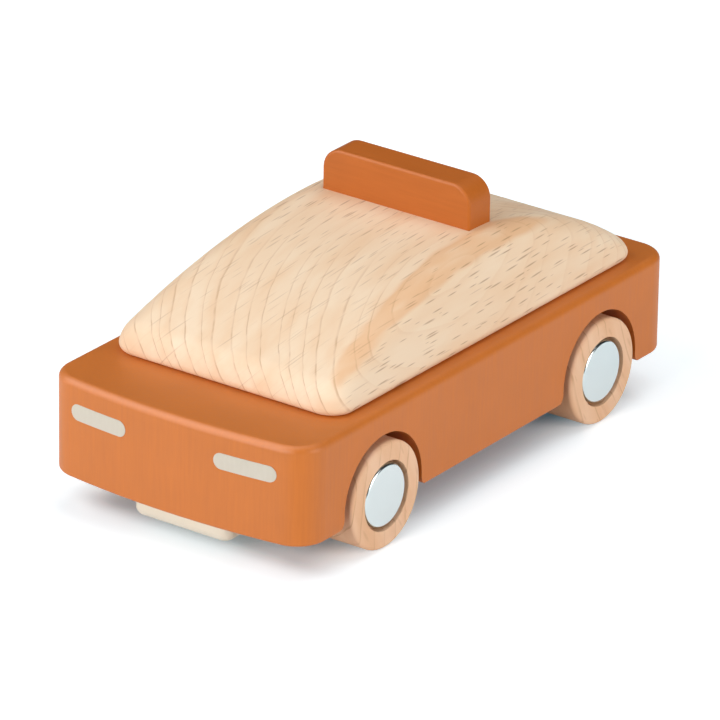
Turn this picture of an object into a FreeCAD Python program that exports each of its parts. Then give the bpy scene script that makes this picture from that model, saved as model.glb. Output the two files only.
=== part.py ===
import FreeCAD
import Part
import Sketcher
import math
import os

from FreeCAD import Placement, Rotation, Vector

# Toy taxi in painted and oiled beech, with a pull-back motor on its front axle.
# Millimetres. +Z is up, the car faces -Y and its left side is +X.
# The origin lies on the floor, under the middle of the painted block.

sizes = {
    # painted block
    "body_length": 171.3,
    "body_width": 84.7,
    "body_height": 28.3,
    "ground_clearance": 11.0,
    "front_bow_radius": 262.0,
    "body_corner_radius": 9.0,
    "body_edge_radius": 2.0,
    "body_foot_radius": 1.0,
    # wheel arches
    "wheelbase": 100.0,
    "front_overhang": 37.0,
    "arch_radius": 17.2,
    "arch_lip_radius": 3.0,
    "arch_depth": 16.1,
    # wheels and their caps
    "wheel_diameter": 30.0,
    "wheel_width": 14.0,
    "wheel_stand_out": 1.1,
    "wheel_edge_radius": 1.1,
    "recess_diameter": 19.6,
    "recess_depth": 3.3,
    "cap_diameter": 18.0,
    "cap_height": 3.1,
    "cap_edge_radius": 1.1,
    "cap_thickness": 0.4,
    "cap_sleeve_wall": 0.7,
    # axles and the sawn slots they lie in
    "axle_diameter": 3.0,
    "axle_end_gap": 0.2,
    "running_clearance": 0.05,
    "slot_clearance": 1.0,
    # rear bearing blocks
    "bearing_length": 8.0,
    "bearing_width": 18.0,
    "bearing_height": 7.0,
    "bearing_inset": 1.5,
    "bearing_screw_spacing": 12.0,
    # screws
    "screw_head_diameter": 3.8,
    "screw_head_height": 1.2,
    "screw_diameter": 2.2,
    "screw_length": 10.0,
    "screw_tip_length": 1.8,
    # cabin
    "cabin_width": 76.4,
    "cabin_front_setback": 22.8,
    "cabin_rear_setback": 9.6,
    "cabin_height": 24.5,
    "cabin_side_lean_width": 7.0,
    "cabin_front_lean_depth": 0.7,
    "cabin_rear_lean_depth": 3.0,
    "crest_distance_from_middle": 15.3,
    "roof_height_at_front": 6.65,
    "roof_height_at_rear": 3.4,
    "nose_radius": 8.6,
    "tail_radius": 8.0,
    "cabin_edge_radius": 7.4,
    "cabin_foot_radius": 2.0,
    "cabin_dowel_diameter": 8.0,
    "cabin_dowel_length_in_body": 10.0,
    "cabin_dowel_length_in_cabin": 9.0,
    "cabin_dowel_front_distance": 25.0,
    "cabin_dowel_rear_distance": 46.0,
    "dowel_chamfer_width": 0.6,
    "dowel_end_gap": 0.5,
    # taxi sign
    "sign_length": 48.4,
    "sign_thickness": 10.1,
    "sign_height": 12.2,
    "sign_distance_from_middle": 14.1,
    "sign_corner_radius": 5.9,
    "sign_edge_radius": 0.8,
    "sign_housing_depth": 1.8,
    "sign_dowel_diameter": 4.0,
    "sign_dowel_upper_length": 6.0,
    "sign_dowel_lower_length": 6.0,
    "sign_dowel_spacing": 26.0,
    # printed headlights
    "headlight_length": 19.0,
    "headlight_height": 4.6,
    "headlight_inset": 18.5,
    "headlight_centre_height": 30.7,
    "print_thickness": 0.12,
    # pull-back motor case
    "case_width": 31.6,
    "case_wall": 1.4,
    "case_floor_height": 4.6,
    "case_top_height": 26.0,
    "case_length_before_axle": 32.2,
    "case_length_behind_axle": 8.2,
    "case_corner_radius": 3.3,
    "case_edge_radius": 2.4,
    "case_fit": 0.3,
    "ear_reach": 7.0,
    "ear_width": 12.0,
    "ear_thickness": 2.0,
    # gear train
    "gear_module_length": 0.5,
    "axle_pinion_teeth": 12,
    "compound_wheel_teeth": 24,
    "compound_pinion_teeth": 10,
    "spring_gear_teeth": 28,
    "axle_pinion_width": 3.5,
    "compound_wheel_width": 2.4,
    "compound_pinion_width": 3.8,
    "spring_gear_width": 2.8,
    "gear_side_gap": 0.4,
    "lay_pin_diameter": 2.0,
    "compound_sleeve_wall": 0.9,
    "spring_hub_diameter": 5.0,
    "pivot_diameter": 2.4,
    "shaft_end_gap": 0.2,
    # mainspring
    "spring_inner_radius": 3.0,
    "spring_strip_thickness": 0.25,
    "spring_pitch": 0.7,
    "spring_turns": 5,
    "spring_width": 8.0,
    # how far every cut runs past the piece it cuts
    "overrun_length": 2.0,
}

# Shares of the gear module that set a tooth.
tooth_tip_share = 0.9
tooth_root_share = 1.3
tooth_tip_half_width_share = 0.26
tooth_root_half_width_share = 0.85
tooth_sink_share = 0.2
# Two measures closer than this share of the axle's diameter count as one.
sameness_share = 0.001


class Size:
    """A length known as a number and as the formula of sheet cells that gives it."""

    def __init__(self, value, formula):
        self.value = value
        self.formula = formula

    def __add__(self, other):
        return Size(self.value + other.value, f"({self.formula} + {other.formula})")

    def __sub__(self, other):
        return Size(self.value - other.value, f"({self.formula} - {other.formula})")

    def __mul__(self, number):
        if isinstance(number, Size):
            return Size(self.value * number.value, f"({self.formula} * {number.formula})")
        return Size(self.value * number, f"({self.formula} * {number})")

    def __truediv__(self, number):
        if isinstance(number, Size):
            return Size(self.value / number.value, f"({self.formula} / {number.formula})")
        return Size(self.value / number, f"({self.formula} / {number})")

    def __neg__(self):
        return Size(-self.value, f"(0 - {self.formula})")

    def root(self):
        return Size(math.sqrt(self.value), f"sqrt({self.formula})")


document = FreeCAD.newDocument("toy_taxi")
sheet = document.addObject("Spreadsheet::Sheet", "Sizes")
for row, (name, value) in enumerate(sizes.items(), start=1):
    sheet.set(f"A{row}", name)
    sheet.set(f"B{row}", str(value))
    sheet.setAlias(f"B{row}", name)
document.recompute()

nothing = Size(0.0, "0")
pieces = []


def size(name):
    """The sheet's value of that name."""
    return Size(sizes[name], f"Sizes.{name}")


def new_body(label):
    """An empty body that becomes one piece of the toy."""
    body = document.addObject("PartDesign::Body", label)
    pieces.append(body)
    return body


def place(thing, x, y, z, turn=None):
    """Puts a piece at a place, turned about the axis and angle of turn."""
    if turn:
        thing.Placement = Placement(Vector(), turn)
    thing.setExpression(".Placement.Base.x", x.formula)
    thing.setExpression(".Placement.Base.y", y.formula)
    thing.setExpression(".Placement.Base.z", z.formula)


def sketch_on(body, role, offset=nothing, angle=0.0):
    """An empty sketch on an origin plane of the body, moved along the plane's normal."""
    plane = next(part for part in body.Origin.OriginFeatures if part.Role == role)
    sketch = body.newObject("Sketcher::SketchObject", f"{body.Name}_sketch")
    sketch.AttachmentSupport = [(plane, "")]
    sketch.MapMode = "FlatFace"
    sketch.AttachmentOffset = Placement(Vector(), Rotation(Vector(0, 0, 1), angle))
    sketch.setExpression(".AttachmentOffset.Base.z", offset.formula)
    return sketch


def hold(sketch, geometry, end, x, y):
    """Ties a point of the sketch to its two distances from the sketch's origin."""
    for kind, distance, axis in (("DistanceX", x, -2), ("DistanceY", y, -1)):
        if distance.value == 0:
            sketch.addConstraint(Sketcher.Constraint("PointOnObject", geometry, end, axis))
        else:
            tie = Sketcher.Constraint(kind, -1, 1, geometry, end, distance.value)
            index = sketch.addConstraint(tie)
            sketch.setExpression(f"Constraints[{index}]", distance.formula)


def set_radius(sketch, geometry, radius):
    """Ties the radius of a circle or an arc."""
    index = sketch.addConstraint(Sketcher.Constraint("Radius", geometry, radius.value))
    sketch.setExpression(f"Constraints[{index}]", radius.formula)


def add_circle(sketch, x, y, radius):
    """A whole circle."""
    circle = Part.Circle(Vector(x.value, y.value, 0), Vector(0, 0, 1), radius.value)
    geometry = sketch.addGeometry(circle, False)
    hold(sketch, geometry, 3, x, y)
    set_radius(sketch, geometry, radius)


def add_outline(sketch, corners):
    """A closed outline. A corner is (x, y), or (x, y, radius, side) where an arc leaves it:
    side 1 has the arc's centre on the left of the way, side -1 on the right."""
    ends = []
    count = len(corners)
    for number, corner in enumerate(corners):
        following = corners[(number + 1) % count]
        start = Vector(corner[0].value, corner[1].value, 0)
        finish = Vector(following[0].value, following[1].value, 0)
        if len(corner) == 2:
            geometry = sketch.addGeometry(Part.LineSegment(start, finish), False)
            ends.append((geometry, 1, 2))
            continue
        radius, side = corner[2], corner[3]
        chord = finish - start
        rise = math.sqrt(max(radius.value ** 2 - chord.Length ** 2 / 4, 0))
        left = Vector(-chord.y, chord.x, 0).normalize()
        centre = (start + finish) / 2 + left * rise * side
        first, last = (start, finish) if side > 0 else (finish, start)
        from_angle = math.atan2(first.y - centre.y, first.x - centre.x)
        to_angle = math.atan2(last.y - centre.y, last.x - centre.x)
        circle = Part.Circle(centre, Vector(0, 0, 1), radius.value)
        geometry = sketch.addGeometry(Part.ArcOfCircle(circle, from_angle, to_angle), False)
        ends.append((geometry, 1, 2) if side > 0 else (geometry, 2, 1))
    for number, (geometry, start_end, finish_end) in enumerate(ends):
        after = ends[(number + 1) % count]
        joint = Sketcher.Constraint("Coincident", geometry, finish_end, after[0], after[1])
        sketch.addConstraint(joint)
    for (geometry, start_end, finish_end), corner in zip(ends, corners):
        hold(sketch, geometry, start_end, corner[0], corner[1])
        if len(corner) > 2:
            set_radius(sketch, geometry, corner[2])


def add_rectangle(sketch, left, bottom, right, top):
    """A rectangle from its lowest to its highest corner."""
    add_outline(sketch, [(left, bottom), (right, bottom), (right, top), (left, top)])


def pad(body, sketch, length, reverse=False):
    """Adds material from the sketch along its normal."""
    feature = body.newObject("PartDesign::Pad", f"{body.Name}_pad")
    feature.Profile = sketch
    feature.Reversed = reverse
    feature.setExpression("Length", length.formula)
    return feature


def pocket(body, sketch, depth, reverse=False):
    """Cuts from the sketch against its normal, or along it when reversed."""
    feature = body.newObject("PartDesign::Pocket", f"{body.Name}_pocket")
    feature.Profile = sketch
    feature.Reversed = reverse
    feature.setExpression("Length", depth.formula)
    return feature


def revolve(body, sketch, axis):
    """Turns a half profile round the sketch's H_Axis or V_Axis."""
    feature = body.newObject("PartDesign::Revolution", f"{body.Name}_turned")
    feature.Profile = sketch
    feature.ReferenceAxis = (sketch, [axis])
    feature.Angle = 360
    return feature


def round_edges(body, radius, wanted):
    """Rounds the edges of the body's last feature that pass the test."""
    document.recompute()
    base = body.Tip
    names = []
    for number, edge in enumerate(base.Shape.Edges, start=1):
        if wanted(edge):
            names.append(f"Edge{number}")
    feature = body.newObject("PartDesign::Fillet", f"{body.Name}_rounding")
    feature.Base = (base, names)
    feature.setExpression("Radius", radius.formula)
    return feature


def same(first, second):
    """Whether two measures are alike to a small part of the axle's diameter."""
    return abs(first - second) < sizes["axle_diameter"] * sameness_share


def is_upright(edge):
    """Whether an edge runs straight up."""
    low, high = edge.BoundBox.ZMin, edge.BoundBox.ZMax
    return same(edge.Length, high - low)


def lies_at_height(*heights):
    """A test for edges that lie level at one of the heights."""
    def wanted(edge):
        box = edge.BoundBox
        return any(same(box.ZMin, level.value) and same(box.ZMax, level.value) for level in heights)
    return wanted


def group(label, members):
    """Like pieces that share one node as separate solids."""
    compound = document.addObject("Part::Compound", label)
    compound.Links = members
    for member in members:
        pieces.remove(member)
    pieces.append(compound)


# Places that several pieces share
half_length = size("body_length") / 2
half_width = size("body_width") / 2
underside = size("ground_clearance")
deck = underside + size("body_height")
axle_height = size("wheel_diameter") / 2
axle_radius = size("axle_diameter") / 2
front_axle_y = size("front_overhang") - half_length
rear_axle_y = front_axle_y + size("wheelbase")
wheel_face = half_width + size("wheel_stand_out")
wheel_back = wheel_face - size("wheel_width")
arch_wall = half_width - size("arch_depth")
overrun = size("overrun_length")
running = size("running_clearance")

# Motor case and where it sits round the front axle
case_half = size("case_width") / 2
case_front = front_axle_y - size("case_length_before_axle")
case_rear = front_axle_y + size("case_length_behind_axle")
case_floor = size("case_floor_height")
case_top = size("case_top_height")
case_fit = size("case_fit")
ear_half = case_half + size("ear_reach")
ear_y = (case_front + case_rear) / 2
ear_bottom = underside + size("screw_head_height")
ear_screw_x = case_half + size("ear_reach") / 2
gear_module = size("gear_module_length")
compound_y = front_axle_y - gear_module * (size("axle_pinion_teeth") + size("compound_wheel_teeth")) / 2
spring_y = compound_y - gear_module * (size("compound_pinion_teeth") + size("spring_gear_teeth")) / 2

# Rear bearing blocks, between the arches
bearing_outer = arch_wall - size("bearing_inset")
bearing_inner = bearing_outer - size("bearing_length")
bearing_x = (bearing_outer + bearing_inner) / 2
bearing_top = underside + size("bearing_height")
bearing_screw_reach = size("bearing_screw_spacing") / 2
screw_radius = size("screw_diameter") / 2
head_radius = size("screw_head_diameter") / 2

# Cabin, glued and dowelled to the deck
cabin_half = size("cabin_width") / 2
cabin_front = size("cabin_front_setback") - half_length
cabin_rear = half_length - size("cabin_rear_setback")
crest_y = size("crest_distance_from_middle")
crest = deck + size("cabin_height")
cabin_dowel_radius = size("cabin_dowel_diameter") / 2

# Sign, housed across the crest
sign_front = size("sign_distance_from_middle")
sign_foot = crest - size("sign_housing_depth")
sign_top = crest + size("sign_height")
sign_half = size("sign_length") / 2
sign_middle = sign_front + size("sign_thickness") / 2
sign_dowel_radius = size("sign_dowel_diameter") / 2


def bow_shoulder(offset):
    """Where the bowed front, grown outwards by offset, meets a body side, as a place along Y."""
    radius = size("front_bow_radius") + offset
    return size("front_bow_radius") - half_length - (radius * radius - half_width * half_width).root()


def add_arch(sketch, axle_y):
    """Wheel arch: a round cut about the axle whose two lips roll over to the underside."""
    radius = size("arch_radius")
    lip = size("arch_lip_radius")
    reach = radius + lip
    lip_height = underside + lip
    spread = (reach * reach - (axle_height - lip_height) * (axle_height - lip_height)).root()
    touch = spread * (radius / reach)
    touch_height = axle_height + (lip_height - axle_height) * (radius / reach)
    floor = underside - overrun
    add_outline(sketch, [
        (axle_y - spread, floor),
        (axle_y - spread, underside, lip, 1),
        (axle_y - touch, touch_height, radius, -1),
        (axle_y, axle_height + radius, radius, -1),
        (axle_y + touch, touch_height, lip, 1),
        (axle_y + spread, underside),
        (axle_y + spread, floor),
    ])


# Body block: one piece of painted beech, bowed at the front, worked from below
body_block = new_body("body_block")
plan = sketch_on(body_block, "XY_Plane", underside)
add_outline(plan, [
    (half_width, half_length),
    (-half_width, half_length),
    (-half_width, bow_shoulder(nothing), size("front_bow_radius"), 1),
    (half_width, bow_shoulder(nothing)),
])
pad(body_block, plan, size("body_height"))
round_edges(body_block, size("body_corner_radius"), is_upright)
round_edges(body_block, size("body_edge_radius"), lies_at_height(deck))
round_edges(body_block, size("body_foot_radius"), lies_at_height(underside))

arches = sketch_on(body_block, "YZ_Plane", half_width + overrun)
add_arch(arches, front_axle_y)
add_arch(arches, rear_axle_y)
left_arches = pocket(body_block, arches, size("arch_depth") + overrun)
right_arches = body_block.newObject("PartDesign::Mirrored", "right_arches")
right_arches.Originals = [left_arches]
mirror_plane = next(part for part in body_block.Origin.OriginFeatures if part.Role == "YZ_Plane")
right_arches.MirrorPlane = (mirror_plane, [""])
body_block.Tip = right_arches

below = underside - overrun
slot_half = axle_radius + size("slot_clearance")
slots = sketch_on(body_block, "XY_Plane", below)
add_rectangle(slots, -half_width, front_axle_y - slot_half, half_width, front_axle_y + slot_half)
add_rectangle(slots, -half_width, rear_axle_y - slot_half, half_width, rear_axle_y + slot_half)
pocket(body_block, slots, axle_height + slot_half - below, reverse=True)

room = sketch_on(body_block, "XY_Plane", below)
add_rectangle(room, -case_half - case_fit, case_front - case_fit, case_half + case_fit, case_rear + case_fit)
pocket(body_block, room, case_top + case_fit - below, reverse=True)

rebate = sketch_on(body_block, "XY_Plane", below)
ear_reach_y = size("ear_width") / 2 + case_fit
add_rectangle(rebate, -ear_half - case_fit, ear_y - ear_reach_y, ear_half + case_fit, ear_y + ear_reach_y)
pocket(body_block, rebate, ear_bottom + size("ear_thickness") - below, reverse=True)

seats = sketch_on(body_block, "XY_Plane", below)
seat_reach = size("bearing_width") / 2
add_rectangle(seats, bearing_inner, rear_axle_y - seat_reach, bearing_outer, rear_axle_y + seat_reach)
add_rectangle(seats, -bearing_outer, rear_axle_y - seat_reach, -bearing_inner, rear_axle_y + seat_reach)
pocket(body_block, seats, bearing_top - below, reverse=True)

pilots = sketch_on(body_block, "XY_Plane", below)
motor_screw_places = [(ear_screw_x, ear_y), (-ear_screw_x, ear_y)]
bearing_screw_places = []
for x in (bearing_x, -bearing_x):
    for y in (rear_axle_y - bearing_screw_reach, rear_axle_y + bearing_screw_reach):
        bearing_screw_places.append((x, y))
for x, y in motor_screw_places + bearing_screw_places:
    add_circle(pilots, x, y, screw_radius)
pocket(body_block, pilots, underside + size("screw_length") - below, reverse=True)

cabin_dowel_places = [-size("cabin_dowel_front_distance"), size("cabin_dowel_rear_distance")]
deck_holes = sketch_on(body_block, "XY_Plane", deck + overrun)
for y in cabin_dowel_places:
    add_circle(deck_holes, nothing, y, cabin_dowel_radius)
pocket(body_block, deck_holes, size("cabin_dowel_length_in_body") + size("dowel_end_gap") + overrun)

# Cabin: solid beech, its whole upper edge rounded by one cutter. It is shaped from a taller
# block and cut off at the deck last.
cabin = new_body("cabin")
block_foot = deck - size("cabin_height")
block_front = cabin_front - size("cabin_front_lean_depth")
block_rear = cabin_rear + size("cabin_rear_lean_depth")
elevation = sketch_on(cabin, "XZ_Plane", -block_rear)
lean_top = cabin_half - size("cabin_side_lean_width")
lean_foot = cabin_half + size("cabin_side_lean_width")
add_outline(elevation, [(-lean_foot, block_foot), (lean_foot, block_foot), (lean_top, crest), (-lean_top, crest)])
pad(cabin, elevation, block_rear - block_front)


def roof_radius(reach, end_height):
    """Radius of the roof arc that is level at the crest and lies end_height over the deck at its reach."""
    drop = size("cabin_height") - end_height
    return (reach * reach + drop * drop) / drop / 2


def tangent_nose(foot_y, lean, slope_radius, nose_radius, side):
    """Arc that joins a leaning end face to the roof arc, as foot of the arc and its end on the roof.
    side is -1 at the front and 1 at the rear."""
    face_length = (lean * lean + size("cabin_height") * size("cabin_height")).root()
    along_y = lean / face_length
    along_z = size("cabin_height") / face_length
    # The nose's centre keeps nose_radius from the face and slope_radius - nose_radius from the roof's centre.
    roof_z = crest - slope_radius
    start_y = (foot_y - crest_y) * side - nose_radius * along_z
    start_z = deck - roof_z - nose_radius * along_y
    reach = slope_radius - nose_radius
    middle = start_z * along_z - start_y * along_y
    rest = start_y * start_y + start_z * start_z - reach * reach
    climb = (middle * middle - rest).root() - middle
    centre_y = start_y - climb * along_y
    centre_z = start_z + climb * along_z
    low_y = centre_y + nose_radius * along_z
    low_z = centre_z + nose_radius * along_y
    high_y = centre_y * (slope_radius / reach)
    high_z = centre_z * (slope_radius / reach)
    low = (crest_y + low_y * side, roof_z + low_z)
    high = (crest_y + high_y * side, roof_z + high_z)
    return low, high


windscreen_radius = roof_radius(crest_y - cabin_front, size("roof_height_at_front"))
rear_slope_radius = roof_radius(cabin_rear - crest_y, size("roof_height_at_rear"))
nose_low, nose_high = tangent_nose(
    cabin_front, size("cabin_front_lean_depth"), windscreen_radius, size("nose_radius"), -1)
tail_low, tail_high = tangent_nose(
    cabin_rear, size("cabin_rear_lean_depth"), rear_slope_radius, size("tail_radius"), 1)
roof_cut = sketch_on(cabin, "YZ_Plane", lean_foot + overrun)
add_outline(roof_cut, [
    (block_front, block_foot),
    (nose_low[0], nose_low[1], size("nose_radius"), -1),
    (nose_high[0], nose_high[1], windscreen_radius, -1),
    (crest_y, crest, rear_slope_radius, -1),
    (tail_high[0], tail_high[1], size("tail_radius"), -1),
    (tail_low[0], tail_low[1]),
    (block_rear, block_foot),
    (block_rear + overrun, block_foot),
    (block_rear + overrun, crest + overrun),
    (block_front - overrun, crest + overrun),
    (block_front - overrun, block_foot),
])
pocket(cabin, roof_cut, (lean_foot + overrun) * 2)


def is_cabin_edge(edge):
    """Whether an edge stays on one leaning side and climbs from foot to roof to foot."""
    box = edge.BoundBox
    return box.XMax * box.XMin > 0 and not same(box.ZMax, block_foot.value)


round_edges(cabin, size("cabin_edge_radius"), is_cabin_edge)
sawn_off = sketch_on(cabin, "XY_Plane", deck)
add_rectangle(sawn_off, -lean_foot - overrun, block_front - overrun, lean_foot + overrun, block_rear + overrun)
pocket(cabin, sawn_off, size("cabin_height") + overrun)
round_edges(cabin, size("cabin_foot_radius"), lies_at_height(deck))

housing = sketch_on(cabin, "XY_Plane", crest + overrun)
add_rectangle(housing, -sign_half, sign_front, sign_half, sign_front + size("sign_thickness"))
pocket(cabin, housing, size("sign_housing_depth") + overrun)
foot_holes = sketch_on(cabin, "XY_Plane", deck - overrun)
for y in cabin_dowel_places:
    add_circle(foot_holes, nothing, y, cabin_dowel_radius)
pocket(cabin, foot_holes, size("cabin_dowel_length_in_cabin") + size("dowel_end_gap") + overrun, reverse=True)
sign_dowel_places = [-size("sign_dowel_spacing") / 2, size("sign_dowel_spacing") / 2]
roof_holes = sketch_on(cabin, "XY_Plane", crest + overrun)
for x in sign_dowel_places:
    add_circle(roof_holes, x, sign_middle, sign_dowel_radius)
roof_hole_depth = size("sign_housing_depth") + size("sign_dowel_lower_length") + size("dowel_end_gap")
pocket(cabin, roof_holes, roof_hole_depth + overrun)

# Taxi sign: a painted bar with rounded top corners
taxi_sign = new_body("taxi_sign")
bar = sketch_on(taxi_sign, "XZ_Plane", -sign_front - size("sign_thickness"))
add_rectangle(bar, -sign_half, sign_foot, sign_half, sign_top)
pad(taxi_sign, bar, size("sign_thickness"))


def is_sign_corner(edge):
    """Whether an edge runs through the sign at one of its top corners."""
    box = edge.BoundBox
    return same(box.ZMin, sign_top.value) and same(box.ZMax, sign_top.value) and same(box.XMin, box.XMax)


def is_sign_rim(edge):
    """Whether an edge follows the front or back outline, above the foot."""
    box = edge.BoundBox
    return same(box.YMin, box.YMax) and box.ZMax > sign_foot.value + sizes["sign_edge_radius"]


round_edges(taxi_sign, size("sign_corner_radius"), is_sign_corner)
round_edges(taxi_sign, size("sign_edge_radius"), is_sign_rim)
sign_holes = sketch_on(taxi_sign, "XY_Plane", sign_foot - overrun)
for x in sign_dowel_places:
    add_circle(sign_holes, x, sign_middle, sign_dowel_radius)
pocket(taxi_sign, sign_holes, size("sign_dowel_upper_length") + size("dowel_end_gap") + overrun, reverse=True)


def add_dowel(label, radius, low, high, x, y):
    """A plain wooden pin with chamfered ends, standing upright."""
    pin = new_body(label)
    chamfer = size("dowel_chamfer_width")
    profile = sketch_on(pin, "XZ_Plane")
    length = high - low
    add_outline(profile, [
        (nothing, nothing),
        (radius - chamfer, nothing),
        (radius, chamfer),
        (radius, length - chamfer),
        (radius - chamfer, length),
        (nothing, length),
    ])
    revolve(pin, profile, "V_Axis")
    place(pin, x, y, low)
    return pin


# Hidden dowels that locate the cabin on the block and the sign on the cabin
cabin_pins = []
for y in cabin_dowel_places:
    low = deck - size("cabin_dowel_length_in_body")
    high = deck + size("cabin_dowel_length_in_cabin")
    cabin_pins.append(add_dowel("cabin_dowel", cabin_dowel_radius, low, high, nothing, y))
group("cabin_dowels", cabin_pins)
sign_pins = []
for x in sign_dowel_places:
    low = sign_foot - size("sign_dowel_lower_length")
    high = sign_foot + size("sign_dowel_upper_length")
    sign_pins.append(add_dowel("sign_dowel", sign_dowel_radius, low, high, x, sign_middle))
group("sign_dowels", sign_pins)


def add_headlight(label, side):
    """A printed stadium, as a thin film that follows the bowed front."""
    light = new_body(label)
    radius = size("front_bow_radius")
    film = size("print_thickness")
    middle = (half_width - size("headlight_inset")) * side
    reach = size("headlight_length") / 2
    bottom = size("headlight_centre_height") - size("headlight_height") / 2
    near, far = middle - reach, middle + reach
    bow_centre = radius - half_length

    def front(x, grown):
        return bow_centre - (grown * grown - x * x).root()

    band = sketch_on(light, "XY_Plane", bottom)
    add_outline(band, [
        (near, front(near, radius + film), radius + film, 1),
        (far, front(far, radius + film)),
        (far, front(far, radius), radius, -1),
        (near, front(near, radius)),
    ])
    pad(light, band, size("headlight_height"))
    round_end = size("headlight_height") / 2
    centre_height = bottom + round_end
    top = bottom + size("headlight_height")
    trim = sketch_on(light, "XZ_Plane", half_length + overrun)
    add_rectangle(trim, near - overrun, bottom - overrun, far + overrun, top + overrun)
    add_outline(trim, [
        (near + round_end, bottom),
        (far - round_end, bottom, round_end, 1),
        (far, centre_height, round_end, 1),
        (far - round_end, top),
        (near + round_end, top, round_end, 1),
        (near, centre_height, round_end, 1),
    ])
    pocket(light, trim, half_length)


# Headlights: two printed stadiums
add_headlight("headlight_left", 1)
add_headlight("headlight_right", -1)

cap_bore = size("cap_height") - size("cap_thickness")


def add_wheel(label, side, axle_y):
    """Turned beech wheel with a recess for its cap, pressed on the axle."""
    wheel = new_body(label)
    radius = size("wheel_diameter") / 2
    edge = size("wheel_edge_radius")
    width = size("wheel_width")
    recess_radius = size("recess_diameter") / 2
    floor = width - size("recess_depth")
    profile = sketch_on(wheel, "XZ_Plane")
    add_outline(profile, [
        (nothing, axle_radius),
        (nothing, radius - edge, edge, -1),
        (edge, radius),
        (width - edge, radius, edge, -1),
        (width, radius - edge),
        (width, recess_radius),
        (floor, recess_radius),
        (floor, axle_radius),
    ])
    revolve(wheel, profile, "H_Axis")
    turn = None if side > 0 else Rotation(Vector(0, 0, 1), 180)
    place(wheel, wheel_back * side, axle_y, axle_height, turn)


def add_cap(label, side, axle_y):
    """Flat zinc-plated cap with a rounded rim, pushed on the axle's end in the wheel's recess."""
    cap = new_body(label)
    radius = size("cap_diameter") / 2
    face = size("cap_height")
    wall = size("cap_thickness")
    sleeve = axle_radius + size("cap_sleeve_wall")
    edge = size("cap_edge_radius")
    inner_edge = edge - wall
    profile = sketch_on(cap, "XZ_Plane")
    add_outline(profile, [
        (nothing, axle_radius),
        (cap_bore, axle_radius),
        (cap_bore, nothing),
        (face, nothing),
        (face, radius - edge, edge, 1),
        (face - edge, radius),
        (nothing, radius),
        (nothing, radius - wall),
        (cap_bore - inner_edge, radius - wall, inner_edge, -1),
        (cap_bore, radius - edge),
        (cap_bore, sleeve),
        (nothing, sleeve),
    ])
    revolve(cap, profile, "H_Axis")
    turn = None if side > 0 else Rotation(Vector(0, 0, 1), 180)
    place(cap, (wheel_face - size("recess_depth")) * side, axle_y, axle_height, turn)


def add_axle(label, axle_y):
    """Plain steel rod from cap to cap."""
    rod = document.addObject("Part::Cylinder", label)
    pieces.append(rod)
    reach = wheel_face - size("recess_depth") + cap_bore - size("axle_end_gap")
    rod.setExpression("Radius", axle_radius.formula)
    rod.setExpression("Height", (reach * 2).formula)
    place(rod, -reach, axle_y, axle_height, Rotation(Vector(0, 1, 0), 90))


# Two axle sets: a steel axle with a wheel and a cap pressed on each end
for end, axle_y in (("front", front_axle_y), ("rear", rear_axle_y)):
    add_axle(f"{end}_axle", axle_y)
    for hand, side in (("left", 1), ("right", -1)):
        add_wheel(f"wheel_{end}_{hand}", side, axle_y)
        add_cap(f"hub_cap_{end}_{hand}", side, axle_y)


def add_bearing(label, side):
    """Moulded block let into the underside, in which the rear axle turns."""
    block = new_body(label)
    base = sketch_on(block, "XY_Plane")
    reach = size("bearing_width") / 2
    half = size("bearing_length") / 2
    add_rectangle(base, -half, -reach, half, reach)
    pad(block, base, size("bearing_height"))
    bore = sketch_on(block, "YZ_Plane", half + overrun)
    add_circle(bore, nothing, axle_height - underside, axle_radius + running)
    pocket(block, bore, size("bearing_length") + overrun * 2)
    for radius, depth in ((screw_radius, size("bearing_height")), (head_radius, size("screw_head_height"))):
        holes = sketch_on(block, "XY_Plane", -overrun)
        add_circle(holes, nothing, -bearing_screw_reach, radius)
        add_circle(holes, nothing, bearing_screw_reach, radius)
        pocket(block, holes, depth + overrun, reverse=True)
    place(block, bearing_x * side, rear_axle_y, underside)


# Rear bearing blocks
add_bearing("rear_bearing_left", 1)
add_bearing("rear_bearing_right", -1)


def add_screw(label, x, y):
    """Pan-head wood screw, driven up from below with its head flush with the underside."""
    screw = new_body(label)
    head = size("screw_head_height")
    length = size("screw_length")
    profile = sketch_on(screw, "XZ_Plane")
    add_outline(profile, [
        (nothing, nothing),
        (head_radius, nothing),
        (head_radius, head),
        (screw_radius, head),
        (screw_radius, length - size("screw_tip_length")),
        (nothing, length),
    ])
    revolve(screw, profile, "V_Axis")
    place(screw, x, y, underside)
    return screw


# Screws
group("bearing_screws", [add_screw("bearing_screw", x, y) for x, y in bearing_screw_places])
group("motor_screws", [add_screw("motor_screw", x, y) for x, y in motor_screw_places])


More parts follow.
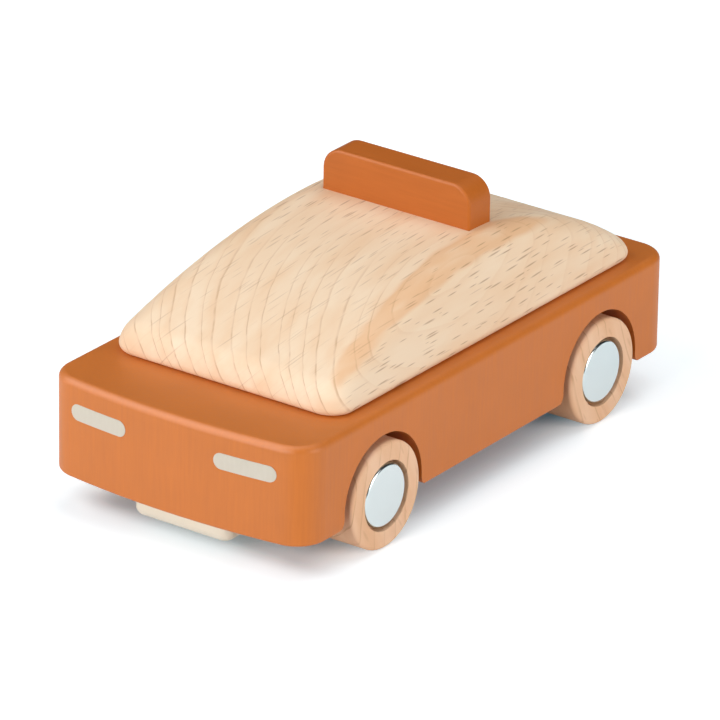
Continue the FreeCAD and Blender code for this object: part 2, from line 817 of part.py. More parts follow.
def add_case_half(label, low, high, open_top):
    """One half of the motor case, as a tub that opens at the level of the shafts."""
    case = new_body(label)
    base = sketch_on(case, "XY_Plane", low)
    add_rectangle(base, -case_half, case_front, case_half, case_rear)
    pad(case, base, high - low)
    round_edges(case, size("case_corner_radius"), is_upright)
    round_edges(case, size("case_edge_radius"), lies_at_height(low if open_top else high))
    wall = size("case_wall")
    if open_top:
        ears = sketch_on(case, "XY_Plane", ear_bottom)
        reach = size("ear_width") / 2
        add_rectangle(ears, -ear_half, ear_y - reach, ear_half, ear_y + reach)
        pad(case, ears, size("ear_thickness"))
    inside = sketch_on(case, "XY_Plane", high + overrun if open_top else low - overrun)
    add_rectangle(inside, wall - case_half, case_front + wall, case_half - wall, case_rear - wall)
    pocket(case, inside, high - low - wall + overrun, reverse=not open_top)
    shafts = sketch_on(case, "YZ_Plane", case_half + overrun)
    add_circle(shafts, front_axle_y, axle_height, axle_radius + running)
    add_circle(shafts, compound_y, axle_height, size("lay_pin_diameter") / 2)
    add_circle(shafts, spring_y, axle_height, size("pivot_diameter") / 2 + running)
    pocket(case, shafts, size("case_width") + overrun * 2)
    if open_top:
        holes = sketch_on(case, "XY_Plane", ear_bottom - overrun)
        for x, y in motor_screw_places:
            add_circle(holes, x, y, screw_radius)
        pocket(case, holes, size("ear_thickness") + overrun * 2, reverse=True)


# Motor case: two moulded halves that meet at the height of the shafts
add_case_half("motor_case_lower", case_floor, axle_height, True)
add_case_half("motor_case_upper", axle_height, case_top, False)


def add_toothed_ring(body, teeth_name, start, width, bore, towards, shift):
    """A gear rim from start along the shaft. towards is the side its mate lies on, shift is 0 to
    point a tooth at the mate and 1 to point a gap."""
    teeth = size(teeth_name)
    pitch_radius = gear_module * teeth / 2
    tip = pitch_radius + gear_module * tooth_tip_share
    root = pitch_radius - gear_module * tooth_root_share
    ring = sketch_on(body, "YZ_Plane", start)
    add_circle(ring, nothing, nothing, root)
    if bore:
        add_circle(ring, nothing, nothing, bore)
    pad(body, ring, width)
    tooth = sketch_on(body, "YZ_Plane", start, shift * 180 / teeth.value)
    foot = (root - gear_module * tooth_sink_share) * towards
    foot_half = gear_module * tooth_root_half_width_share
    tip_half = gear_module * tooth_tip_half_width_share
    add_outline(tooth, [(foot, -foot_half), (tip * towards, -tip_half), (tip * towards, tip_half), (foot, foot_half)])
    first = pad(body, tooth, width)
    pattern = body.newObject("PartDesign::PolarPattern", f"{body.Name}_teeth")
    pattern.Originals = [first]
    axis = next(part for part in body.Origin.OriginFeatures if part.Role == "X_Axis")
    pattern.Axis = (axis, [""])
    pattern.Angle = 360
    pattern.setExpression("Occurrences", teeth.formula)
    body.Tip = pattern


def add_collar(body, start, width, radius, bore=None):
    """A round boss on a gear, with or without a bore."""
    ring = sketch_on(body, "YZ_Plane", start)
    add_circle(ring, nothing, nothing, radius)
    if bore:
        add_circle(ring, nothing, nothing, bore)
    pad(body, ring, width)


# Gear train: axle pinion, compound gear on the lay pin, spring gear
case_inner = case_half - size("case_wall") - size("gear_side_gap")
side_gap = size("gear_side_gap")
axle_pinion = new_body("axle_pinion")
add_toothed_ring(axle_pinion, "axle_pinion_teeth", nothing, size("axle_pinion_width"), axle_radius, -1, 0)
place(axle_pinion, nothing, front_axle_y, axle_height)

compound_gear = new_body("compound_gear")
lay_bore = size("lay_pin_diameter") / 2 + running
lay_sleeve = size("lay_pin_diameter") / 2 + size("compound_sleeve_wall")
add_collar(compound_gear, -case_inner, case_inner * 2, lay_sleeve, lay_bore)
add_toothed_ring(compound_gear, "compound_wheel_teeth", side_gap, size("compound_wheel_width"), lay_bore, 1, 1)
pinion_start = side_gap - size("compound_pinion_width")
add_toothed_ring(compound_gear, "compound_pinion_teeth", pinion_start, size("compound_pinion_width"), lay_bore, -1, 0)
place(compound_gear, nothing, compound_y, axle_height)

lay_pin = document.addObject("Part::Cylinder", "lay_pin")
pieces.append(lay_pin)
lay_pin_reach = case_half - size("shaft_end_gap")
lay_pin.setExpression("Radius", (size("lay_pin_diameter") / 2).formula)
lay_pin.setExpression("Height", (lay_pin_reach * 2).formula)
place(lay_pin, -lay_pin_reach, compound_y, axle_height, Rotation(Vector(0, 1, 0), 90))

spring_gear = new_body("spring_gear")
gear_start = -size("spring_gear_width")
add_toothed_ring(spring_gear, "spring_gear_teeth", gear_start, size("spring_gear_width"), None, 1, 1)
hub_length = case_inner - size("spring_gear_width")
add_collar(spring_gear, -case_inner, hub_length, size("spring_hub_diameter") / 2)
add_collar(spring_gear, nothing, case_inner, size("spring_hub_diameter") / 2)
add_collar(spring_gear, -lay_pin_reach, lay_pin_reach * 2, size("pivot_diameter") / 2)
place(spring_gear, nothing, spring_y, axle_height)


def spring_strip_outline(inner, pitch, thickness, half_turns):
    """The closed outline of a strip wound in half circles that grow by half the pitch each time."""
    inside, outside = [], []
    for number in range(half_turns):
        centre = pitch / 2 if number % 2 else 0.0
        side = -1 if number % 2 else 1
        for edges, radius in ((inside, inner + number * pitch / 2), (outside, inner + thickness + number * pitch / 2)):
            start = Vector(0, centre + radius * side, 0)
            middle = Vector(0, centre, radius * side)
            finish = Vector(0, centre - radius * side, 0)
            edges.append(Part.Arc(start, middle, finish).toShape())
    caps = []
    for number in (0, -1):
        vertex = 0 if number == 0 else 1
        first = inside[number].Vertexes[vertex].Point
        second = outside[number].Vertexes[vertex].Point
        caps.append(Part.LineSegment(first, second).toShape())
    return Part.Wire(Part.__sortEdges__(inside + outside + caps))


# Mainspring: a wound steel strip round the spring gear's hub
mainspring = document.addObject("Part::Feature", "mainspring")
pieces.append(mainspring)
strip_outline = spring_strip_outline(
    sizes["spring_inner_radius"], sizes["spring_pitch"], sizes["spring_strip_thickness"], 2 * sizes["spring_turns"])
strip = Part.Face(strip_outline).extrude(Vector(sizes["spring_width"], 0, 0))
mainspring.Shape = strip
place(mainspring, size("case_wall") - case_half, spring_y, axle_height)

# Every feature has to be sound before a file is written
document.recompute()
for thing in document.Objects:
    if "Invalid" in thing.State or "Error" in thing.State:
        raise RuntimeError(f"{thing.Label} failed: {thing.State}")
for piece in pieces:
    if piece.Shape.isNull() or not piece.Shape.isValid():
        raise RuntimeError(f"{piece.Label} has no sound shape")
os.makedirs("parts", exist_ok=True)
for piece in pieces:
    piece.Shape.exportStep(f"parts/{piece.Label}.step")
    box = piece.Shape.BoundBox
    print(f"{piece.Label}: {len(piece.Shape.Solids)} solids, {piece.Shape.Volume:.1f} cubic mm,"
          f" Z {box.ZMin:.2f} to {box.ZMax:.2f}")
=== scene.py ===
import math

import bpy
from mathutils import Matrix, Vector


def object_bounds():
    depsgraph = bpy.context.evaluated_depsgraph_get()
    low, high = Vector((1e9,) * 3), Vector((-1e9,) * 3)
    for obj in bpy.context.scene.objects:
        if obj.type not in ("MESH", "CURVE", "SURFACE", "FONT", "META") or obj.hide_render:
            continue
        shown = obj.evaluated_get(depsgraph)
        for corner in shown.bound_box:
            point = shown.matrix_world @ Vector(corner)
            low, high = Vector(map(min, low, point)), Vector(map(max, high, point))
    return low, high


# Toy taxi: a painted beech block, an oiled beech cabin, a painted sign, turned beech
# wheels with steel caps and a pull-back motor. Metres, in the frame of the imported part.
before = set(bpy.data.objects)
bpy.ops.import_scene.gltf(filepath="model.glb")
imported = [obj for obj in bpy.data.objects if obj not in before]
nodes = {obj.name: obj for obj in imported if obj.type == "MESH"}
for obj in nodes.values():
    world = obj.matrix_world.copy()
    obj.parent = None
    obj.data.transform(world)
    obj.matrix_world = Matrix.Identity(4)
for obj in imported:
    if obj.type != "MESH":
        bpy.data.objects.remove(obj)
cad_low, cad_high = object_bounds()
mm = 0.001


# Painted block and sign: beech under two coats of satin water-based paint, sprayed on.
# The coats bridge most of the pores, so only faint fibre lines show, upright on the block
# and level on the sign.
def linear(hex_colour):
    """The linear colour of an sRGB hex value."""
    channels = []
    for start in (0, 2, 4):
        value = int(hex_colour[start:start + 2], 16) / 255
        channels.append(value / 12.92 if value <= 0.04045 else ((value + 0.055) / 1.055) ** 2.4)
    return (*channels, 1.0)


def add_node(tree, kind, inputs, **settings):
    """Adds a shader node. Each input is a value, or the output that it is linked to."""
    made = tree.nodes.new("ShaderNode" + kind)
    for name, value in settings.items():
        setattr(made, name, value)
    for name, value in inputs.items():
        if isinstance(value, bpy.types.NodeSocket):
            tree.links.new(value, made.inputs[name])
        else:
            made.inputs[name].default_value = value
    return made


def new_finish(name):
    """A material with a shader, its object coordinates and its node tree."""
    material = bpy.data.materials.new(name)
    material.use_nodes = True
    tree = material.node_tree
    place = add_node(tree, "TexCoord", {}).outputs["Object"]
    return material, tree, tree.nodes["Principled BSDF"], place


def stretched(tree, place, size_x, size_y, size_z, turn=(0, 0, 0)):
    """Coordinates in which one unit is a given size in millimetres along each turned axis."""
    turned = add_node(tree, "Mapping", {"Vector": place, "Rotation": turn})
    scale = (1 / (size_x * mm), 1 / (size_y * mm), 1 / (size_z * mm))
    return add_node(tree, "Mapping", {"Vector": turned.outputs[0], "Scale": scale}).outputs[0]


def wear(finish, *names):
    """Gives CAD nodes a finish in place of the frame's own."""
    for name in names:
        mesh = nodes[name].data
        mesh.materials.clear()
        mesh.materials.append(finish)


def painted(name, tints, fibre_size, gloss_level):
    """Satin paint over beech whose fibres have the given size in millimetres along X, Y and Z."""
    cloud_size = 14
    fibre_relief = 0.08 * mm
    material, tree, shader, place = new_finish(name)
    fibres = add_node(tree, "TexNoise", {
        "Vector": stretched(tree, place, *fibre_size), "Scale": 1.0, "Detail": 3.0, "Roughness": 0.6})
    clouds = add_node(tree, "TexNoise", {
        "Vector": stretched(tree, place, cloud_size, cloud_size, cloud_size), "Scale": 1.0, "Detail": 2.0})
    streaks = add_node(tree, "MapRange", {
        "Value": fibres.outputs["Fac"], "From Min": 0.25, "From Max": 0.8})
    tint = add_node(tree, "MixRGB", {
        "Fac": streaks.outputs[0], "Color1": linear(tints[0]), "Color2": linear(tints[1])})
    drift = add_node(tree, "MapRange", {
        "Value": clouds.outputs["Fac"], "From Min": 0.3, "From Max": 0.7, "To Min": 0.97, "To Max": 1.03})
    shade = add_node(tree, "HueSaturation", {
        "Color": tint.outputs[0], "Value": drift.outputs[0]})
    tree.links.new(shade.outputs[0], shader.inputs["Base Color"])
    gloss = add_node(tree, "MapRange", {
        "Value": fibres.outputs["Fac"], "From Min": 0.3, "From Max": 0.7, "To Min": 0.46, "To Max": 0.54})
    tree.links.new(gloss.outputs[0], shader.inputs["Roughness"])
    grain = add_node(tree, "Bump", {
        "Height": fibres.outputs["Fac"], "Strength": 0.14, "Distance": fibre_relief})
    tree.links.new(grain.outputs[0], shader.inputs["Normal"])
    shader.inputs["Specular IOR Level"].default_value = gloss_level
    return material


block_paint = painted(
    "satin_paint_on_beech", tints=("c46a18", "cc711e"), fibre_size=(0.9, 0.9, 14), gloss_level=0.57)
# The sign's tints are the block's paint made a little darker and duller, which paints shade onto the sign.
sign_paint_painted_shade = painted(
    "satin_paint_on_beech_sign_painted_shade", tints=("b96117", "c1671e"), fibre_size=(12, 0.9, 0.9), gloss_level=0.3)
wear(block_paint, "body_block")
wear(sign_paint_painted_shade, "taxi_sign")


# Cabin: one piece of solid beech, shaped, sanded and oiled. Its fibres run along the car.
# The year rings lie at a slant across it, so they draw fine lines up the windscreen and a
# broad warm line along the left shoulder. The rays stand across them and show as brown dashes.
def beech(name, colours, turn, ring_slant, bow, ring_width, ray_slant, wander, line_share,
          flat_line_share, dash_share, warm_year=None):
    """Beech with fibres along the turned Y axis, in mm. The rings stand ring_slant off level and bow
    along the fibres, round a middle and with a radius. warm_year gives the slant, middle, radius and
    place of a broad warm ring. The shares are those of the lines that close a year, of the same lines
    on faces that lie along the fibres, and of the dashes."""
    bend_size = (26, 70, 26)
    waver_size = (4, 14, 4)
    streak_size = (7, 45, 7)
    line_gap_size = (3, 9, 3)
    pore_size = (0.35, 4, 0.35)
    pore_relief = 0.06 * mm
    # Each kind of dash: its length, the spacing of its rows, how far it reaches in a row, its strength
    bold_dash = (15, 1.15, 0.25, 0.55)
    fine_dash = (36, 1.5, 0.16, 0.27)
    material, tree, shader, place = new_finish(name)

    def maths(operation, *values):
        return add_node(tree, "Math", dict(enumerate(values)), operation=operation).outputs[0]

    def band(value, low, high, kind="SMOOTHSTEP"):
        return add_node(tree, "MapRange", {
            "Value": value, "From Min": low, "From Max": high}, interpolation_type=kind).outputs[0]

    def blend(share, first, second):
        return add_node(tree, "MixRGB", {"Fac": share, "Color1": first, "Color2": second}).outputs[0]

    def noise(size, detail):
        return add_node(tree, "TexNoise", {
            "Vector": stretched(tree, place, *size, turn), "Scale": 1.0, "Detail": detail})

    def outwards(point, slant, middle, radius):
        """How far out a point lies, across rings that are slanted and bowed."""
        part = add_node(tree, "SeparateXYZ", {0: point}).outputs
        level = maths("ADD", maths("MULTIPLY", part[0], math.sin(slant)),
                      maths("MULTIPLY", part[2], math.cos(slant)))
        off_middle = maths("SUBTRACT", part[1], middle)
        return maths("MULTIPLY_ADD", maths("MULTIPLY", off_middle, off_middle), -0.5 / radius, level)

    straight = stretched(tree, place, 1, 1, 1, turn)
    slow_shift = add_node(tree, "VectorMath", {
        0: noise(bend_size, 1.0).outputs["Color"], 1: (0.5, 0.5, 0.5)}, operation="SUBTRACT")
    slow_reach = add_node(tree, "VectorMath", {
        0: slow_shift.outputs[0], "Scale": wander * 2}, operation="SCALE")
    bent = add_node(tree, "VectorMath", {0: straight, 1: slow_reach.outputs[0]}, operation="ADD")
    waver = noise(waver_size, 1.0).outputs["Fac"]
    wavering = maths("MULTIPLY_ADD", waver, 0.7, outwards(bent.outputs[0], ring_slant, *bow))
    age = maths("DIVIDE", wavering, ring_width)
    # Ring widths differ from year to year
    years = add_node(tree, "TexNoise", {"W": age, "Scale": 0.42, "Detail": 1.0}, noise_dimensions="1D")
    phase = maths("FRACT", maths("MULTIPLY_ADD", years.outputs["Fac"], 1.8, age))
    # Long soft streaks of paler and warmer wood
    streak = noise(streak_size, 3.0).outputs["Fac"]
    ground = blend(band(streak, 0.35, 0.7, "LINEAR"), linear(colours["pale"]), linear(colours["warm"]))
    year_strength = band(years.outputs["Fac"], 0.35, 0.75, "LINEAR")
    late_strength = maths(
        "MULTIPLY", band(phase, 0.35, 0.95), maths("MULTIPLY_ADD", year_strength, 0.1, 0.05))
    surface = blend(late_strength, ground, linear(colours["late"]))
    if warm_year:
        slant, middle, radius, warm_place = warm_year
        warm_age = maths("MULTIPLY_ADD", waver, 1.5, outwards(straight, slant, middle, radius))
        off_year = maths("ABSOLUTE", maths("SUBTRACT", warm_age, warm_place))
        warm_strength = maths("MULTIPLY", maths("SUBTRACT", 1.0, band(off_year, 0.2, 1.2)), 0.55)
        surface = blend(warm_strength, surface, linear(colours["late"]))
    # Lines show where the face cuts across the fibres, bold dashes where it lies along them
    facing = add_node(tree, "SeparateXYZ", {0: add_node(tree, "TexCoord", {}).outputs["Normal"]})
    cut_across = maths("MINIMUM", maths("MULTIPLY", maths("ABSOLUTE", facing.outputs[1]), 2.4), 1.0)
    lengthways = maths("SUBTRACT", 1.0, cut_across)
    # The line that closes a year is thin and broken
    gaps = band(noise(line_gap_size, 1.0).outputs["Fac"], 0.36, 0.62)
    line_edge = maths("MULTIPLY", band(phase, 0.86, 0.95), maths("SUBTRACT", 1.0, band(phase, 0.975, 1.0)))
    line_shown = maths("MULTIPLY", line_edge, maths("MAXIMUM", cut_across, flat_line_share))
    line_strength = maths(
        "MULTIPLY", line_shown, maths("MULTIPLY_ADD", gaps, line_share * 0.7, line_share * 0.3))
    surface = blend(line_strength, surface, linear(colours["line"]))
    # Rays: bold dashes, and long fine ones between them
    across, along, high = add_node(tree, "SeparateXYZ", {0: bent.outputs[0]}).outputs
    sheets = maths("SUBTRACT", maths("MULTIPLY", across, math.cos(ray_slant)),
                   maths("MULTIPLY", high, math.sin(ray_slant)))
    dashes = []
    for dash_length, spacing, reach, strength in (bold_dash, fine_dash):
        row = maths("DIVIDE", sheets, spacing)
        flat = add_node(tree, "CombineXYZ", {
            0: maths("MULTIPLY_ADD", row, 0.37, maths("DIVIDE", along, dash_length)), 1: row})
        cells = add_node(tree, "TexVoronoi", {
            "Vector": flat.outputs[0], "Scale": 1.0, "Randomness": 0.95}, voronoi_dimensions="2D")
        chance = add_node(tree, "SeparateColor", {0: cells.outputs["Color"]})
        room = maths("MULTIPLY_ADD", chance.outputs[0], reach * 0.75, reach * 0.25)
        share = maths("DIVIDE", cells.outputs["Distance"], room)
        dash = maths("MULTIPLY", maths("SUBTRACT", 1.0, band(share, 0.3, 1.0)), strength * dash_share)
        if not dashes:
            # Bold dashes fade where the face cuts across the fibres
            dash = maths("MULTIPLY", dash, maths("MAXIMUM", lengthways, 0.1))
        surface = blend(dash, surface, linear(colours["ray"]))
        dashes.append(dash)
    tree.links.new(surface, shader.inputs["Base Color"])
    pores = noise(pore_size, 2.0)
    gloss = add_node(tree, "MapRange", {
        "Value": pores.outputs["Fac"], "From Min": 0.3, "From Max": 0.7, "To Min": 0.52, "To Max": 0.64})
    tree.links.new(gloss.outputs[0], shader.inputs["Roughness"])
    shader.inputs["Specular IOR Level"].default_value = 0.2
    grain = add_node(tree, "Bump", {
        "Height": maths("MULTIPLY_ADD", dashes[0], -0.4, pores.outputs["Fac"]), "Strength": 0.2,
        "Distance": pore_relief})
    tree.links.new(grain.outputs[0], shader.inputs["Normal"])
    return material


cabin_colours = {
    "pale": "f4dcbf", "warm": "eecdaa", "late": "e2a973", "line": "b98b62", "ray": "96633c"}
shoulder_year = (math.radians(24), 15, -235, 69.55)
cabin_beech = beech(
    "oiled_beech", cabin_colours, turn=(0, 0, 0), ring_slant=math.radians(55), bow=(-10, 140),
    ring_width=3.8, ray_slant=math.radians(42), wander=1.2, line_share=0.5, flat_line_share=0.12,
    dash_share=0.9, warm_year=shoulder_year)
wear(cabin_beech, "cabin")


# Dowels: turned beech pins that hold the cabin on the block and the sign on the cabin.
# They are raw, glued in and hidden once the car is together.
dowel_colours = {
    "pale": "e8cda8", "warm": "ddb98c", "late": "cc9f6e", "line": "b28257", "ray": "a5764e"}
dowel_beech = beech(
    "raw_beech_dowel", dowel_colours, turn=(math.radians(90), 0, 0), ring_slant=math.radians(60),
    bow=(0, 400), ring_width=2.2, ray_slant=math.radians(30), wander=1.0, line_share=0.4,
    flat_line_share=0.2, dash_share=0.6)
wear(dowel_beech, "cabin_dowels", "sign_dowels")


# Wheels: beech turned across the grain from board, each with an oiled face, a recess for
# its cap and a bore for the rod. Rings pass over the faces as faint arcs.
wheel_colours = {
    "pale": "f1c8a6", "warm": "e7b68d", "late": "d09568", "line": "b48259", "ray": "a9734b"}
wheel_beech = beech(
    "turned_beech", wheel_colours, turn=(math.radians(66), 0, 0), ring_slant=math.radians(25),
    bow=(10, 90), ring_width=4.5, ray_slant=math.radians(20), wander=1.6, line_share=0.45,
    flat_line_share=0.8, dash_share=0.3)
wheel_names = [f"wheel_{end}_{side}" for end in ("front", "rear") for side in ("left", "right")]
wear(wheel_beech, *wheel_names)


# Headlights: two warm grey ink films, screen printed on the bowed front.
# The ink is matt, and the paint's grain under it leaves it very faintly streaked.
headlight_ink, tree, shader, place = new_finish("screen_printed_ink")
ink_noise = add_node(tree, "TexNoise", {
    "Vector": stretched(tree, place, 0.8, 0.8, 5), "Scale": 1.0, "Detail": 2.0})
ink_tint = add_node(tree, "MixRGB", {
    "Fac": ink_noise.outputs["Fac"], "Color1": linear("c9c1b1"), "Color2": linear("d0c9bb")})
tree.links.new(ink_tint.outputs[0], shader.inputs["Base Color"])
shader.inputs["Roughness"].default_value = 0.55
wear(headlight_ink, "headlight_left", "headlight_right")


# Hub caps: pressed steel, zinc plated and polished, pushed over the rod's end.
# The plating gives a cool, nearly white mirror with very fine polishing haze.
cap_steel, tree, shader, place = new_finish("zinc_plated_steel")
haze = add_node(tree, "TexNoise", {
    "Vector": stretched(tree, place, 3, 3, 3), "Scale": 1.0, "Detail": 3.0})
cap_gloss = add_node(tree, "MapRange", {
    "Value": haze.outputs["Fac"], "From Min": 0.3, "From Max": 0.7, "To Min": 0.16, "To Max": 0.24})
tree.links.new(cap_gloss.outputs[0], shader.inputs["Roughness"])
cap_tint = add_node(tree, "MixRGB", {
    "Fac": haze.outputs["Fac"], "Color1": linear("c9d1d1"), "Color2": linear("d0d7d7")})
tree.links.new(cap_tint.outputs[0], shader.inputs["Base Color"])
shader.inputs["Metallic"].default_value = 1.0
wear(cap_steel, *[name.replace("wheel", "hub_cap") for name in wheel_names])


# Axle rods and the gear pin: bright drawn steel rod, sawn to length.
# Drawing leaves fine lines along the rod.
def drawn_steel(name, tint, line_size):
    """Bright steel whose drawing or rolling lines have the given size in millimetres."""
    line_relief = 0.01 * mm
    material, tree, shader, place = new_finish(name)
    lines = add_node(tree, "TexNoise", {
        "Vector": stretched(tree, place, *line_size), "Scale": 1.0, "Detail": 2.0})
    rough = add_node(tree, "MapRange", {
        "Value": lines.outputs["Fac"], "From Min": 0.3, "From Max": 0.7, "To Min": 0.25, "To Max": 0.4})
    tree.links.new(rough.outputs[0], shader.inputs["Roughness"])
    bump = add_node(tree, "Bump", {
        "Height": lines.outputs["Fac"], "Strength": 0.2, "Distance": line_relief})
    tree.links.new(bump.outputs[0], shader.inputs["Normal"])
    shader.inputs["Base Color"].default_value = linear(tint)
    shader.inputs["Metallic"].default_value = 1.0
    return material


wear(drawn_steel("drawn_steel_rod", "cfd0d0", (8, 0.15, 0.15)), "front_axle", "rear_axle", "lay_pin")


# Screws: small zinc-plated pan-head screws that hold the bearing blocks and the motor.
# Tumbled plating leaves them a little duller than the caps.
wear(drawn_steel("zinc_plated_screw", "c8c8c2", (0.3, 0.3, 0.3)), "bearing_screws", "motor_screws")


# Mainspring: rolled strip of blued spring steel wound on the spring gear's hub.
wear(drawn_steel("blued_spring_steel", "7d8794", (6, 0.2, 0.2)), "mainspring")


# Motor case, bearing blocks and gears: injection moulded plastic. The case is cream ABS
# with a fine moulded texture, the bearings and gears are acetal, whiter and smoother.
def moulded(name, tint, second_tint, roughness, texture_size):
    """Moulded plastic with a fine texture of the given size in millimetres."""
    mottle_size = 6
    texture_relief = 0.02 * mm
    material, tree, shader, place = new_finish(name)
    mottle = add_node(tree, "TexNoise", {
        "Vector": stretched(tree, place, mottle_size, mottle_size, mottle_size),
        "Scale": 1.0, "Detail": 2.0})
    tinted = add_node(tree, "MixRGB", {
        "Fac": mottle.outputs["Fac"], "Color1": linear(tint), "Color2": linear(second_tint)})
    tree.links.new(tinted.outputs[0], shader.inputs["Base Color"])
    texture = add_node(tree, "TexNoise", {
        "Vector": stretched(tree, place, texture_size, texture_size, texture_size),
        "Scale": 1.0, "Detail": 1.0})
    bump = add_node(tree, "Bump", {
        "Height": texture.outputs["Fac"], "Strength": 0.15, "Distance": texture_relief})
    tree.links.new(bump.outputs[0], shader.inputs["Normal"])
    shader.inputs["Roughness"].default_value = roughness
    return material


wear(moulded("moulded_abs", "e4dbc7", "e7dfcd", 0.42, 0.25), "motor_case_lower", "motor_case_upper")
wear(moulded("moulded_acetal", "eeeae0", "f1eee6", 0.35, 0.4), "rear_bearing_left", "rear_bearing_right")
wear(moulded("moulded_acetal_gear", "e8e6dc", "ebe9e0", 0.32, 0.4),
     "axle_pinion", "compound_gear", "spring_gear")


# Floor: a wide sheet of white paper, which keeps the car's soft shadow. Away from the car it
# glows for the camera, so that it shows as white. Near the car the glow fades out over a box drawn
# in from the car's outline. This paints a soft box-shaped shade around and under the car, on top of
# the lamps' shadow. The faint glow left under the car is cool, which paints the warm bounce out of that
# shade.
def seen_straight(tree):
    """1 for rays from the camera, from mirrors and through glass, else 0."""
    path = add_node(tree, "LightPath", {})
    first = add_node(tree, "Math", {
        0: path.outputs["Is Camera Ray"], 1: path.outputs["Is Glossy Ray"]}, operation="MAXIMUM")
    return add_node(tree, "Math", {
        0: first.outputs[0], 1: path.outputs["Is Transmission Ray"]}, operation="MAXIMUM").outputs[0]


floor_reach = 6.0
floor_bounce = 0.80
floor_seen = 0.86
# Painted shade: the cool glow kept under the car, and the box, drawn in from the car's outline and faded
# past it, over which the glow drops.
painted_shade_glow = (0.0, 0.05, 0.075, 1)
glow_away = (0.42, 0.49, 0.525, 1)
painted_shade_inset = (15.5, 17.5)
painted_shade_fade = (20, 10.5)
bpy.ops.object.select_all(action="DESELECT")
bpy.ops.mesh.primitive_plane_add(size=floor_reach * 2, location=(0, 0, 0))
floor = bpy.context.object
floor.name = "floor"
paper = bpy.data.materials.new("white_paper")
paper.use_nodes = True
tree = paper.node_tree
shader = tree.nodes["Principled BSDF"]
seen = seen_straight(tree)
albedo = add_node(tree, "MixRGB", {
    "Fac": seen, "Color1": (floor_bounce, floor_bounce, floor_bounce, 1),
    "Color2": (floor_seen, floor_seen, floor_seen, 1)})
tree.links.new(albedo.outputs[0], shader.inputs["Base Color"])
shader.inputs["Roughness"].default_value = 0.9
shader.inputs["Specular IOR Level"].default_value = 0.0
spot = add_node(tree, "TexCoord", {}).outputs["Object"]
around = add_node(tree, "VectorMath", {0: spot}, operation="ABSOLUTE")
past_car = add_node(tree, "VectorMath", {
    0: around.outputs[0], 1: (cad_high[0] - painted_shade_inset[0] * mm, cad_high[1] - painted_shade_inset[1] * mm, 0)},
    operation="SUBTRACT")
outside = add_node(tree, "VectorMath", {0: past_car.outputs[0], 1: (0, 0, 0)}, operation="MAXIMUM")
faded = add_node(tree, "VectorMath", {
    0: outside.outputs[0], 1: (painted_shade_fade[0] * mm, painted_shade_fade[1] * mm, 1)}, operation="DIVIDE")
gap = add_node(tree, "VectorMath", {0: faded.outputs[0]}, operation="LENGTH")
away = add_node(tree, "MapRange", {"Value": gap.outputs["Value"]}, interpolation_type="SMOOTHSTEP")
lift = add_node(tree, "MixRGB", {"Fac": away.outputs[0], "Color1": painted_shade_glow, "Color2": glow_away})
glow = add_node(tree, "Emission", {"Color": lift.outputs[0], "Strength": seen})
both = add_node(tree, "AddShader", {0: shader.outputs[0], 1: glow.outputs[0]})
tree.links.new(both.outputs[0], tree.nodes["Material Output"].inputs["Surface"])
floor.data.materials.append(paper)


# Studio: an even dim room, a large panel overhead, and smaller ones off the car's front right
# corner, in front and on the left. All of them are far wider than the car.
sky_strength = 0.125
sky_in_gloss = 0.04
world = bpy.data.worlds.new("studio")
bpy.context.scene.world = world
world.use_nodes = True
tree = world.node_tree
sky = tree.nodes["Background"]
path = add_node(tree, "LightPath", {})
open_view = add_node(tree, "Math", {
    0: path.outputs["Is Camera Ray"], 1: path.outputs["Is Transmission Ray"]}, operation="MAXIMUM")
lit_level = add_node(tree, "Math", {
    0: open_view.outputs[0], 1: 1 - sky_strength, 2: sky_strength}, operation="MULTIPLY_ADD")
sky_level = add_node(tree, "Math", {
    0: path.outputs["Is Glossy Ray"], 1: sky_in_gloss - sky_strength, 2: lit_level.outputs[0]},
    operation="MULTIPLY_ADD")
tree.links.new(sky_level.outputs[0], sky.inputs["Strength"])
sky.inputs["Color"].default_value = (1, 1, 1, 1)


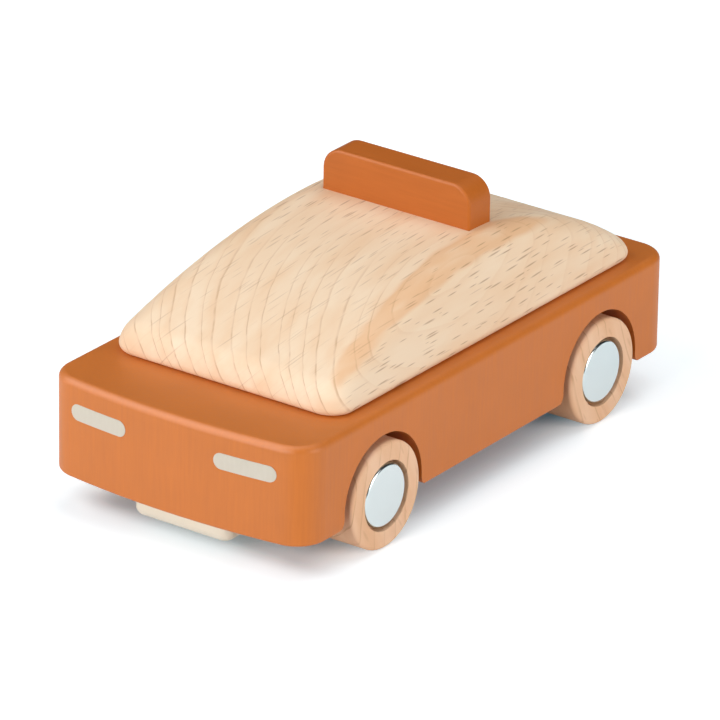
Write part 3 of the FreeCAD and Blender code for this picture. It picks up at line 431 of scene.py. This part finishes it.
def add_panel(name, direction, distance, width, height, power):
    """A soft panel that faces the car from a direction."""
    data = bpy.data.lights.new(name, "AREA")
    data.shape = "RECTANGLE"
    data.size = width
    data.size_y = height
    data.energy = power
    panel = bpy.data.objects.new(name, data)
    bpy.context.scene.collection.objects.link(panel)
    towards = Vector(direction).normalized()
    panel.location = towards * distance
    panel.rotation_euler = towards.to_track_quat("Z", "Y").to_euler()
    panel.visible_camera = False
    return panel


corner_power = 3.3
top_power = 5.2
front_power = 11.5
left_power = 9.6
gloss_power = 25.5
add_panel("corner_panel", (-0.53, -0.39, 0.72), 1.2, 0.7, 0.7, corner_power)
add_panel("top_panel", (0.1, 0.2, 1.0), 1.2, 1.0, 1.0, top_power)
add_panel("front_panel", (-0.1, -0.95, 0.3), 1.4, 0.7, 0.7, front_power)
add_panel("left_panel", (0.95, 0.05, 0.3), 1.4, 0.7, 0.7, left_power)
# A tall white screen off the front right corner, which shows only as the broad shine on rounded edges
screen = add_panel("gloss_panel", (-0.53, -0.53, 0.66), 1.2, 1.2, 2.1, gloss_power)
screen.visible_diffuse = False


# Camera: a long lens, from the front left of the car and above it, as in the photograph.
azimuth = math.radians(35.59)
elevation = math.radians(24.06)
roll = math.radians(0.91)
distance = 2.012
target = Vector((-1.61, 1.345, 23.79)) * mm
back = Vector((
    math.sin(azimuth) * math.cos(elevation), -math.cos(azimuth) * math.cos(elevation), math.sin(elevation)))
level_right = Vector((math.cos(azimuth), math.sin(azimuth), 0))
level_up = back.cross(level_right)
right = level_right * math.cos(roll) + level_up * math.sin(roll)
up = level_up * math.cos(roll) - level_right * math.sin(roll)
camera_data = bpy.data.cameras.new("camera")
camera_data.sensor_width = 36.0
camera_data.lens = 375.0
camera = bpy.data.objects.new("camera", camera_data)
bpy.context.scene.collection.objects.link(camera)
turn = Matrix((right, up, back)).transposed().to_4x4()
camera.matrix_world = Matrix.Translation(target + back * distance) @ turn
camera_data.clip_start = 0.1
camera_data.clip_end = 50.0
bpy.context.scene.camera = camera
bpy.context.scene.view_settings.view_transform = "Standard"
